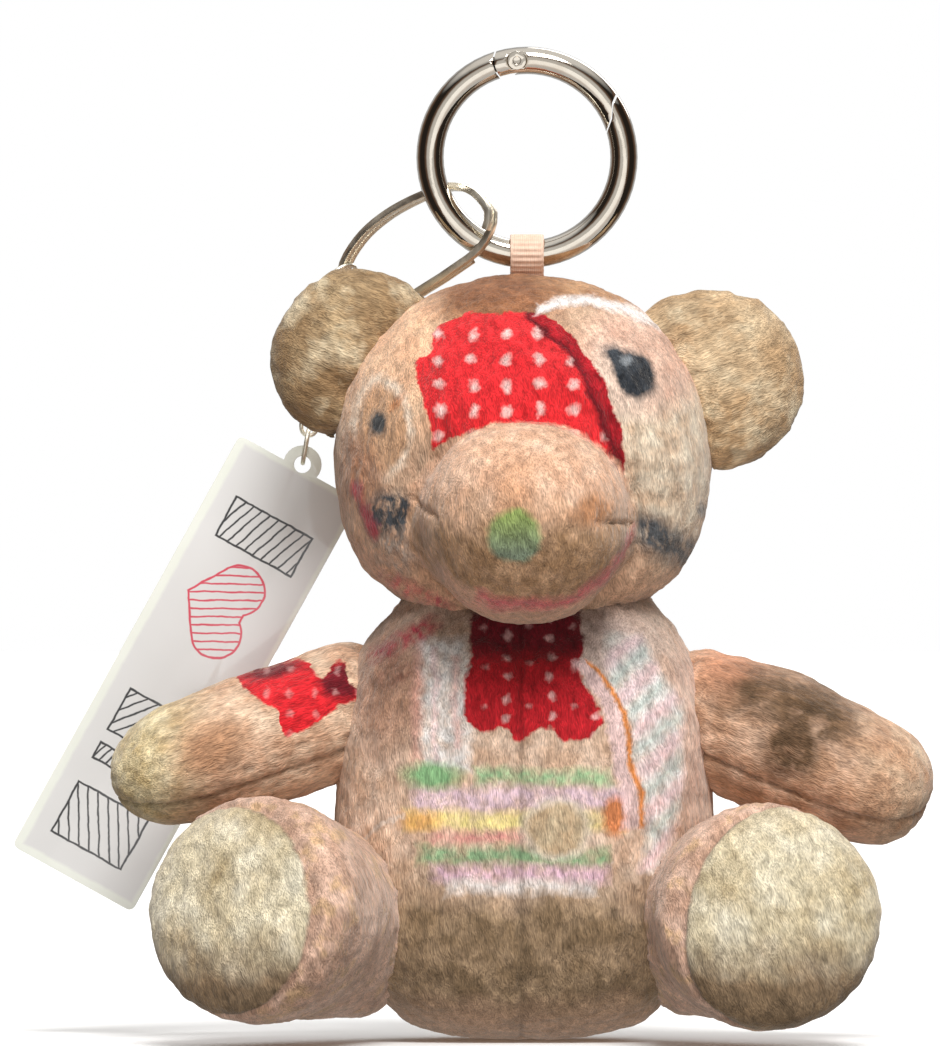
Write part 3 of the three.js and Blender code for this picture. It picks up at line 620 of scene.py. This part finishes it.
def leg_print(paint, through, facing):
    """A pink-tan side, and a cream sole mottled with olive in front of its seam."""
    side = mottled(paint, "e6c3ae", "c39d86", 3.4)
    side = paint.mix(paint.ramp(paint.noise(3, 3, seed=4), 0.52, 0.66), side, "d2ad88")
    sole = mottled(paint, "eee6cf", "dccfb0", 3.5)
    cloud = paint.ramp(paint.noise(8, 4, seed=5), 0.42, 0.68)
    sole = paint.mix(cloud, sole, mottled(paint, "c2b08a", "a9946e", 2.2, seed=6))
    low = paint.ramp(paint.z + (paint.noise(5, 3, seed=7) - 0.5) * 8, -126.5, -135.5, (0, 0.95))
    sole = paint.mix(low, sole, mottled(paint, "977c5e", "765f46", 2.4, seed=8))
    high = paint.ramp(paint.z + (paint.noise(5, 3, seed=9) - 0.5) * 6, -115, -109, (0, 0.5))
    sole = paint.mix(high, sole, "bfa77f")
    past = paint.vector("DOT_PRODUCT", paint.place, facing) - float(np.dot(through, facing))
    return paint.mix(paint.ramp(past + (paint.noise(1.5, 2) - 0.5) * 0.8, -0.3, 0.3), side, sole)


# ---- stuffed pieces ----

VOXEL = 1.0 * MM
SMOOTHINGS = 14
CLOTH_SCALE = 5  # the cloth is simulated at the size of a cushion, where its settings hold
CLOTH_FRAMES = 20
CLOTH_PRESSURE = 4
MOST_SWELL = 0.9 * MM


def largest_island(obj):
    """Keeps only the outer skin of a remeshed piece, which has the most points."""
    shape = bmesh.new()
    shape.from_mesh(obj.data)
    left, islands = set(shape.verts), []
    while left:
        grown, island = [left.pop()], []
        while grown:
            vertex = grown.pop()
            island.append(vertex)
            for edge in vertex.link_edges:
                other = edge.other_vert(vertex)
                if other in left:
                    left.remove(other)
                    grown.append(other)
        islands.append(island)
    islands.sort(key=len)
    bmesh.ops.delete(shape, geom=[v for island in islands[:-1] for v in island], context="VERTS")
    shape.to_mesh(obj.data)
    shape.free()


def inflate(obj):
    """The stuffing's push, as a cloth simulation whose result is applied, with each point's move capped."""
    start = points_of(obj)
    move_points(obj, start * CLOTH_SCALE)
    modifier = obj.modifiers.new("cloth", "CLOTH")
    cloth = modifier.settings
    cloth.quality = 4
    cloth.mass = 0.3
    cloth.tension_stiffness = cloth.compression_stiffness = 12
    cloth.bending_stiffness = 0.6
    cloth.use_pressure = True
    cloth.uniform_pressure_force = CLOTH_PRESSURE
    cloth.effector_weights.gravity = 0
    modifier.collision_settings.use_collision = False
    modifier.point_cache.frame_start, modifier.point_cache.frame_end = 1, CLOTH_FRAMES
    for number in range(1, CLOTH_FRAMES + 1):
        bpy.context.scene.frame_set(number)
    moved = points_of(obj.evaluated_get(bpy.context.evaluated_depsgraph_get()))
    obj.modifiers.clear()
    bpy.context.scene.frame_set(1)
    step = moved / CLOTH_SCALE - start
    size = np.linalg.norm(step, axis=1, keepdims=True)
    move_points(obj, start + step * np.minimum(1, MOST_SWELL / np.maximum(size, 1e-9)))


def stuffed(name, nodes, grooves, lie, printed, front=0.0, beside=(), seams=()):
    """One stuffed piece in place of its CAD covers and filling.

    It is remeshed, inflated, drawn in to the pieces beside it, grooved at its seams, and given its pile.
    """
    vertices, faces = [], []
    for node in nodes:
        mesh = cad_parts[node].data
        first = len(vertices)
        vertices += [v.co.copy() for v in mesh.vertices]
        faces += [[first + i for i in face.vertices] for face in mesh.polygons]
    obj = new_object(name, vertices, faces)
    with_modifier(obj, "REMESH", mode="VOXEL", voxel_size=VOXEL)
    largest_island(obj)
    with_modifier(obj, "SMOOTH", factor=0.5, iterations=SMOOTHINGS)
    inflate(obj)
    with_modifier(obj, "SUBSURF", levels=1)
    tuck(obj, beside)
    place, out = points_of(obj), normals_of(obj)
    # uneven filling
    lift = 0.28 * MM * value_noise(place, 7 * MM, 1) + 0.12 * MM * value_noise(place, 2.6 * MM, 2)
    for groove in grooves:
        lift = lift + groove(place, out)
    # tufts of pile lie along the grain, and their ends stand proud
    turned = place @ np.array(grain_along(lie)).T
    turned = turned + 1.2 * MM * np.stack([value_noise(place, 5 * MM, s) for s in (3, 4, 5)], axis=1)
    lift = lift + 0.16 * MM * value_noise(turned, (0.9 * MM, 0.9 * MM, 2.6 * MM), 6)
    move_points(obj, place + out * lift[:, None])
    smooth_shaded(obj)
    obj.data.materials.append(pile(name, lie, printed, front, seams))
    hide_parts(*nodes)
    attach(obj, "bear")
    return obj


def tuck(obj, neighbours, pull=1.5, near=1.2, reach=3.6):
    """Draws a piece's skin in to its neighbours' where they nearly meet, as sewing does. In millimetres."""
    place = points_of(obj)
    for neighbour in neighbours:
        polygons = [tuple(f.vertices) for f in neighbour.data.polygons]
        tree = BVHTree.FromPolygons([v.co.copy() for v in neighbour.data.vertices], polygons)
        for i, point in enumerate(place):
            found, normal, _, away = tree.find_nearest(Vector(point), reach * MM)
            if found is None:
                continue
            apart = (Vector(point) - found).dot(normal) / MM
            share = min(1, max(0, (reach - apart) / (reach - near)))
            place[i] -= np.array(normal) * (pull * MM * share * share * (3 - 2 * share))
    move_points(obj, place)


# Forms and seam planes that the CAD covers are cut at, in millimetres
HEAD_MIDDLE, HEAD_REACH, HEAD_POWER = (-0.8, 0.5, -56.4), (28.9, 23.7, 26), 2.1
MUZZLE_MIDDLE, MUZZLE_REACH, MUZZLE_POWER = (-0.4, -17.5, -66.4), (17, 20, 15.3), 2
TORSO_MIDDLE = (-0.4, 3, -112)
SIDEWAYS, BACKWARDS = (1, 0, 0), (0, 1, 0)
CHEST_SEAM = ((-0.9, 0, 0), SIDEWAYS)
TORSO_SEAM = (TORSO_MIDDLE, BACKWARDS)
EAR_SEAM = ((0, -1, 0), BACKWARDS)
SOLES = {
    "left": ((-31.4, -40, -123), (-0.62, -0.78, 0.1)),
    "right": ((24.4, -36.3, -125), (0.44, -0.89, -0.03)),
}
ARMS = {"left": ((-24, 1.5, -93.9), (-62.2, -9, -107)), "right": ((24, 1.5, -94.2), (60, -11, -109))}
ARM_SEAM_DROP = (0, 0, -2.2)  # from the arm's middle line down to its seam
ARM_SEAM_UP = (0, -0.45, 1)


def muzzle_crease(place, out):
    """The sewn line round the muzzle, where its own form meets the head's."""

    def level(centre, reach, power):
        away = np.abs((place / MM - centre) / reach)
        return np.sum(away**power, axis=1) ** (1 / power)

    gap = level(MUZZLE_MIDDLE, MUZZLE_REACH, MUZZLE_POWER) - level(HEAD_MIDDLE, HEAD_REACH, HEAD_POWER)
    gap = gap * 15  # about millimetres across the line
    ahead = np.clip((-place[:, 1] / MM - 8) / 4, 0, 1)
    pucker = value_noise(place, 1.6 * MM, 9)
    crease = np.exp(-((gap / 0.8) ** 2)) + 0.8 * np.exp(-((gap / 2.6) ** 2)) * (1 + 0.4 * pucker)
    return -0.95 * MM * crease * ahead


def along_plane(point, normal, depth, width, region=lambda p: 1.0):
    """A sewn groove where a surface meets a plane: a narrow line in a wider pull, with puckers beside it.

    The point, depth and width are in millimetres. region gives how much of the groove each place has.
    """
    point, normal = np.array(point) * MM, np.array(normal, float) / np.linalg.norm(normal)

    def groove(place, out):
        away = (place - point) @ normal
        line = np.exp(-((away / (0.35 * width * MM)) ** 2))
        pull = np.exp(-((away / (2.2 * width * MM)) ** 2))
        pucker = value_noise(place, (1.5 * MM, 1.5 * MM, 1.5 * MM), 9)
        return -(depth * MM) * (line + 0.45 * pull * (1 + 0.6 * pucker)) * region(place)

    return groove


def between(values, low, high, soft=1.0):
    """1 between low and high, in millimetres, and 0 outside, with a soft edge."""
    v = values / MM
    return np.clip((v - low) / soft + 0.5, 0, 1) * np.clip((high - v) / soft + 0.5, 0, 1)


def muzzle_middle(p):
    return between(p[:, 1], -60, -20) * between(p[:, 2], -90, -56)


def beside_muzzle(left, right):
    """The stretch of the head's front from left to right at the muzzle's corner."""
    return lambda p: between(p[:, 0], left, right) * between(p[:, 1], -60, -16)


head = stuffed(
    "head",
    ["face_left", "face_right", "head_back", "muzzle_left", "muzzle_right", "head_stuffing"],
    [
        along_plane(HEAD_MIDDLE, SIDEWAYS, 0.25, 1, muzzle_middle),
        along_plane(HEAD_MIDDLE, BACKWARDS, 0.35, 1),
        along_plane(HEAD_MIDDLE, SIDEWAYS, 0.45, 1, lambda p: between(p[:, 1], 8, 60, 3)),
        along_plane((-15, -20, -65.6), (0.6, 0, 1), 0.5, 0.8, beside_muzzle(-19, -13.5)),
        muzzle_crease,
        along_plane((13, -20, -67.4), (0.05, 0, 1), 0.5, 0.8, beside_muzzle(10, 17)),
    ],
    (0.15, 0.1, -1),
    head_print,
)
# the left ear's colours are darker than the right's: painted shade, as the light falls more from the right
EAR_COLOURS = {"left": ("c2a984", "8f7352"), "right": ("e0c8a4", "b69671")}
ALL_ROUND = 30  # behind every piece, so that its print goes all the way round
for side, outwards in (("left", -1), ("right", 1)):
    stuffed(
        f"ear_{side}",
        [f"ear_{side}_front", f"ear_{side}_back", f"ear_{side}_stuffing"],
        [along_plane(*EAR_SEAM, 0.35, 0.9)],
        (outwards, 0, 0.35),
        lambda paint, on, tint=EAR_COLOURS[side]: ear_print(paint, *tint),
        front=ALL_ROUND,
        beside=[head],
        seams=[EAR_SEAM],
    )
torso = stuffed(
    "torso",
    ["torso_front_left", "torso_front_right", "torso_back", "torso_stuffing"],
    [
        along_plane(*CHEST_SEAM, 0.45, 1, lambda p: between(p[:, 1], -60, 0)),
        along_plane(*TORSO_SEAM, 0.35, 1),
    ],
    (0.1, 0.1, -1),
    torso_print,
    beside=[head],
    seams=[CHEST_SEAM, TORSO_SEAM],
)
for side in ("left", "right"):
    root, tip = (np.array(p) for p in ARMS[side])
    along = (tip - root) / np.linalg.norm(tip - root)
    seam = ((root + tip) / 2 + ARM_SEAM_DROP, np.array(ARM_SEAM_UP) - along * np.dot(ARM_SEAM_UP, along))
    stuffed(
        f"arm_{side}",
        [f"arm_{side}_upper", f"arm_{side}_lower", f"arm_{side}_stuffing"],
        [along_plane(*seam, 0.7, 0.9)],
        along,
        arm_left_print if side == "left" else arm_right_print,
        front=ALL_ROUND,
        beside=[torso],
        seams=[seam],
    )
    stuffed(
        f"leg_{side}",
        [f"leg_{side}_cover", f"leg_{side}_sole", f"leg_{side}_stuffing"],
        [along_plane(*SOLES[side], 0.5, 0.9)],
        (0.3, 0.2, -1),
        lambda paint, on, plane=SOLES[side]: leg_print(paint, *plane),
        front=ALL_ROUND,
        beside=[torso],
        seams=[SOLES[side]],
    )

# ---- metal, ribbon and tag ----


def metal(name, colour, dull, scratch=0.05, worn=0.25):
    """Plated metal: fine scratches, faint smears, and plating that dulls in patches."""
    paint = Paint(name, Metallic=1.0)
    smear = paint.noise(3.5, 3)
    fine = paint.noise(0.22, 2, seed=2)
    lines = paint.noise(0.5, 3, place=paint.joined(paint.x * 2.2, paint.y * 0.35, paint.z * 2.2), seed=3)
    patina = paint.ramp(smear, 0.45, 0.75, (0, worn))
    rough = paint.ramp(smear, 0.3, 0.7, (dull * 0.8, dull * 1.6)) + paint.ramp(lines, 0.55, 0.75, (0, 0.06))
    paint.bump(lines * 0.6 + fine * 0.4, 0.03, scratch)
    tinted = paint.mix(patina, colour, "a5937c")
    return paint.finish(paint.shade(tinted, paint.ramp(fine, 0.3, 0.7, (0.96, 1.03))), rough)


def polished(name, node, body, material, bevel=0.09, subdivide=0, angle=38):
    """A CAD node's own shape with rounded edges, in place of the node."""
    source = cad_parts[node].data
    faces = [tuple(f.vertices) for f in source.polygons]
    obj = new_object(name, [v.co.copy() for v in source.vertices], faces)
    shape = bmesh.new()
    shape.from_mesh(obj.data)
    bmesh.ops.remove_doubles(shape, verts=shape.verts, dist=2e-7)
    flat = math.radians(1.2)
    bmesh.ops.dissolve_limit(shape, angle_limit=flat, verts=shape.verts, edges=shape.edges)
    shape.to_mesh(obj.data)
    shape.free()
    if bevel:
        sharp = math.radians(angle)
        with_modifier(obj, "BEVEL", width=bevel * MM, segments=2, limit_method="ANGLE", angle_limit=sharp)
    if subdivide:
        with_modifier(obj, "SUBSURF", levels=subdivide)
    smooth_shaded(obj, 32)
    obj.data.materials.append(material)
    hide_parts(node)
    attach(obj, body)
    return obj


chrome = metal("chrome", "c6bfb4", 0.06)
steel = metal("steel", "f6f0e0", 0.36, 0.12, 0.12)
polished("ring_body", "ring_body", "ring", chrome)
polished("ring_gate", "ring_gate", "gate", chrome)
polished("gate_pin", "gate_pin", "ring", chrome)
polished("gate_spring", "gate_spring", "ring", steel, bevel=0, subdivide=1)
polished("split_ring", "split_ring", "key_ring", steel, bevel=0.12)
polished("upper_jump_ring", "upper_jump_ring", "upper_jump", steel, bevel=0, subdivide=1)
for number in range(1, 6):
    link = f"chain_link_{number}"
    polished(link, link, f"link_{number}", steel, bevel=0, subdivide=1)
polished("lower_jump_ring", "lower_jump_ring", "lower_jump", steel, bevel=0, subdivide=1)

# The ribbon, in millimetres
BAR = (0.0, -27.05)  # the ring's bar under the ribbon, in Y and Z
RIBBON_RADIUS = 2.76  # of its middle line round the bar
RIBBON_HALF = 2.5  # half its width
RIBBON_JOIN = -31.2  # where its two layers meet
RIBBON_END = -34.7  # inside the head
LAYER_OUT = 0.27  # from the middle of the two layers to that of one
RIB_PITCH = 0.86
ARC_STEPS = 40
PATH_STEP = 0.08


def ribbon_path():
    """The ribbon's middle line in Y and Z: up from the head, over the ring's bar, and down again."""
    turn = math.acos(RIBBON_RADIUS / math.hypot(BAR[1] - RIBBON_JOIN, LAYER_OUT)) - 0.06
    start = [(LAYER_OUT, z) for z in (RIBBON_END, -33, RIBBON_JOIN - 0.2)]
    arc = []
    for step in range(ARC_STEPS + 1):
        angle = -math.pi / 2 + turn + (2 * math.pi - 2 * turn) * step / ARC_STEPS
        arc.append((BAR[0] + RIBBON_RADIUS * math.cos(angle), BAR[1] + RIBBON_RADIUS * math.sin(angle)))
    points = np.array(start + arc + [(-y, z) for y, z in start[::-1]])
    gone = np.concatenate([[0], np.cumsum(np.linalg.norm(np.diff(points, axis=0), axis=1))])
    at = np.linspace(0, gone[-1], int(gone[-1] / PATH_STEP))
    return np.stack([np.interp(at, gone, points[:, 0]), np.interp(at, gone, points[:, 1])], axis=1), at


def make_ribbon():
    path, gone = ribbon_path()
    for _ in range(12):
        path[1:-1] = (path[:-2] + 2 * path[1:-1] + path[2:]) / 4
    ahead = np.gradient(path, axis=0)
    ahead /= np.linalg.norm(ahead, axis=1, keepdims=True)
    across = np.stack([-ahead[:, 1], ahead[:, 0]], axis=1)
    # the selvedge is a little thicker than the ribs' troughs, and scalloped at the rib pitch
    marks = [0, 1, 2.05, 2.2, 2.42, RIBBON_HALF]
    places = [-x for x in marks[:0:-1]] + marks

    def section(i):
        phase = 2 * math.pi * gone[i] / RIB_PITCH
        ring = []
        for sign in (1, -1):
            for x in places[::sign]:
                edge = abs(x) > 2.1
                swell = 0.5 + 0.5 * math.cos(phase + (0.5 if edge else 0) * math.pi)
                half = 0.1 + 0.16 * swell
                if edge:
                    half = 0.13 if abs(x) == RIBBON_HALF else 0.19 + 0.05 * swell
                wide = x * (1 + (0.012 * math.cos(phase) if edge else 0))
                y, z = path[i] + sign * half * across[i]
                ring.append((wide * MM, y * MM, z * MM))
        return ring

    obj = smooth_shaded(sweep("ribbon", [section(i) for i in range(len(path))]), 60)
    paint = Paint("ribbon", Sheen_Weight=0.25, Sheen_Roughness=0.4, Specular_IOR_Level=0.3)
    threads = paint.math("SINE", paint.x * (2 * math.pi / 0.3))
    warp = paint.noise(0.5, 2, place=paint.joined(paint.x * 2.5, paint.y * 0.5, paint.z * 0.5))
    tone = paint.ramp(threads, -1, 1, (0.93, 1.04)) * paint.ramp(warp, 0.3, 0.7, (0.9, 1.08))
    dye = paint.mix(paint.noise(1.5, 2, seed=2), "e6bfa6", "f0d2bd")
    paint.bump(threads * 0.5 + warp, 0.06, 0.6)
    obj.data.materials.append(paint.finish(paint.shade(dye, tone), 0.7))
    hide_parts("ribbon_loop")
    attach(obj, "bear")


make_ribbon()

# The tag, in degrees and millimetres
TAG_LEAN = 29
TAG_CORNER = (-43.26, -54.09)  # the tag's upper left corner, in X and Z
TAG_WIDE, TAG_LONG = 20.7, 71


def tag_paint():
    """Clear acrylic with a milky print behind it, plain hatched outlines, and a clear rim."""
    paint = Paint("acrylic", Coat_Weight=0.6, Coat_Roughness=0.04, Specular_IOR_Level=0.5, IOR=1.49)
    cos, sin = math.cos(math.radians(TAG_LEAN)), math.sin(math.radians(TAG_LEAN))
    dx, dz = paint.x - TAG_CORNER[0], paint.z - TAG_CORNER[1]
    u, v = dx * cos - dz * sin, -(dx * sin) - dz * cos
    wobble = paint.noise(2.5, 2, place=paint.joined(u, v, 0.0))
    u, v = u + (wobble - 0.5) * 0.5, v + (paint.noise(2.1, 2, place=paint.joined(u, v, 5.0)) - 0.5) * 0.5
    on = Print(paint, u, v)
    rim = on.mask((u - 1.2) & (TAG_WIDE - 0.8 - u) & (v - 0.9) & (TAG_LONG - 1.2 - v), 0.5)
    milky = paint.mix(paint.noise(14, 2), "dedddb", "d2d1cf")
    colour = paint.mix(rim, paint.mix(paint.noise(6, 2, seed=2), "eceee6", "dfe2d6"), milky)

    def bar(left, top, right, low):
        return (u - left) & (right - u) & (v - top) & (low - v)

    def hatched(inside, slant, spacing, ink, colour):
        turn = math.radians(slant)
        stripe = abs(paint.math("WRAP", u * math.cos(turn) + v * math.sin(turn), spacing / 2, -spacing / 2))
        line = (0.14 - stripe) & inside
        return paint.mix(on.mask((0.17 - abs(inside)) | line, 0.12), colour, ink)

    black = "2a2a2c"
    front = paint.ramp(paint.y, 16.8, 16.6)  # the tag's front face is at 16.5
    drawn = hatched(bar(4, 8.4, 17, 15), 20, 1.35, black, colour)
    # a heart on its side: two round lobes, and the straight flanks that run to its tip
    a, b = u - 4.4, abs(v - 24.3)
    lobe = 3.8 - paint.math("SQRT", squared(a - 6.9, 1) + squared(b - 3.7, 1))
    flank = (a * 0.84 - b * 0.54) & (6.84 - a * 0.54 - b * 0.84) & (9.2 - a)
    drawn = hatched(lobe | flank, 62, 1.25, "cf4357", drawn)
    drawn = hatched(bar(4, 41.6, 13.2, 48.6), 40, 1.4, black, drawn)
    drawn = hatched(bar(4, 50.8, 10, 53.4), 20, 1.0, black, drawn)
    drawn = hatched(bar(4, 57.6, 16, 66.2), -30, 1.5, black, drawn)
    colour = paint.mix(front, colour, drawn)
    smear = paint.noise(4, 3, seed=4)
    paint.bump(paint.noise(0.3, 2, seed=5), 0.01, 0.15)
    return paint.finish(colour, paint.ramp(smear, 0.35, 0.7, (0.12, 0.26)))


polished("tag", "tag_plate", "tag", tag_paint(), bevel=0.22, angle=40)

# ---- light, floor and sizes ----

FLOOR_REACH = 6
FLOOR_GAP = 0.0008


def studio():
    """Light from above and in front, darker sides for the metal to reflect, and a plain white backdrop."""
    world = bpy.data.worlds.new("studio")
    world.use_nodes = True
    tree = world.node_tree
    background = tree.nodes["Background"]
    parts = tree.nodes.new("ShaderNodeSeparateXYZ")
    tree.links.new(tree.nodes.new("ShaderNodeTexCoord").outputs["Generated"], parts.inputs[0])

    def ramp(socket, stops):
        """Shades at places from -1 to 1 along a direction. The first two stops are its ends."""
        node = tree.nodes.new("ShaderNodeMapRange")
        node.inputs["From Min"].default_value, node.inputs["From Max"].default_value = -1, 1
        tree.links.new(socket, node.inputs["Value"])
        shades = tree.nodes.new("ShaderNodeValToRGB")
        tree.links.new(node.outputs[0], shades.inputs[0])
        marks = shades.color_ramp.elements
        for index, (place, shade) in enumerate(stops):
            mark = marks[index] if index < 2 else marks.new((place + 1) / 2)
            mark.position, mark.color = (place + 1) / 2, (*shade, 1)
        return shades.outputs[0]

    warm, dark = (0.20, 0.125, 0.085), (0.03, 0.024, 0.02)
    ends = [(-1, (0.85, 0.84, 0.82)), (1, (0.6, 0.6, 0.6))]
    front = [(-0.9, (0.8, 0.79, 0.77)), (-0.8, warm), (-0.6, dark)]
    sides = [(0.1, dark), (0.45, warm), (0.75, (0.5, 0.49, 0.48))]
    round_about = ramp(parts.outputs["Y"], ends + front + sides)
    above = [(-1, (0, 0, 0)), (1, (1.1, 1.1, 1.1)), (0.6, (0, 0, 0)), (0.82, (1, 1, 1))]
    overhead = ramp(parts.outputs["Z"], above)
    both = tree.nodes.new("ShaderNodeMix")
    both.data_type, both.blend_type = "RGBA", "LIGHTEN"
    both.inputs[0].default_value = 1
    tree.links.new(round_about, both.inputs[6])
    tree.links.new(overhead, both.inputs[7])
    plain = tree.nodes.new("ShaderNodeMix")
    plain.data_type = "RGBA"
    tree.links.new(tree.nodes.new("ShaderNodeLightPath").outputs["Is Camera Ray"], plain.inputs[0])
    tree.links.new(both.outputs[2], plain.inputs[6])
    plain.inputs[7].default_value = (1, 1, 1, 1)
    tree.links.new(plain.outputs[2], background.inputs[0])
    bpy.context.scene.world = world


def make_stage():
    scene = bpy.context.scene
    scene.view_settings.view_transform = "Standard"
    studio()
    low = cad_box[0][2] - FLOOR_GAP
    corners = [(x * FLOOR_REACH, y * FLOOR_REACH, low) for x, y in ((-1, -1), (1, -1), (1, 1), (-1, 1))]
    floor = new_object("floor", corners, [(0, 1, 2, 3)])
    paint = Paint("floor", Roughness=0.8, Specular_IOR_Level=0.2)
    floor.data.materials.append(paint.finish(paint.mix(paint.noise(40), "f4f4f3", "efefee")))
    # the metal mirrors the studio and not the floor, and the low lamp stands in for the floor's glow
    floor.visible_glossy = floor.visible_diffuse = floor.visible_shadow = False
    for name, towards, power, soft in [
        ("key", (0.12, -0.65, 0.9), 3.0, 24),
        ("low", (0.1, -0.8, -0.6), 1.0, 80),
        ("back", (0.4, 0.9, 0.6), 1.3, 40),
    ]:
        data = bpy.data.lights.new(name, "SUN")
        data.energy, data.angle = power, math.radians(soft)
        lamp = bpy.data.objects.new(name, data)
        lamp.location = towards
        lamp.rotation_euler = Vector(towards).to_track_quat("Z", "Y").to_euler()
        scene.collection.objects.link(lamp)


make_stage()
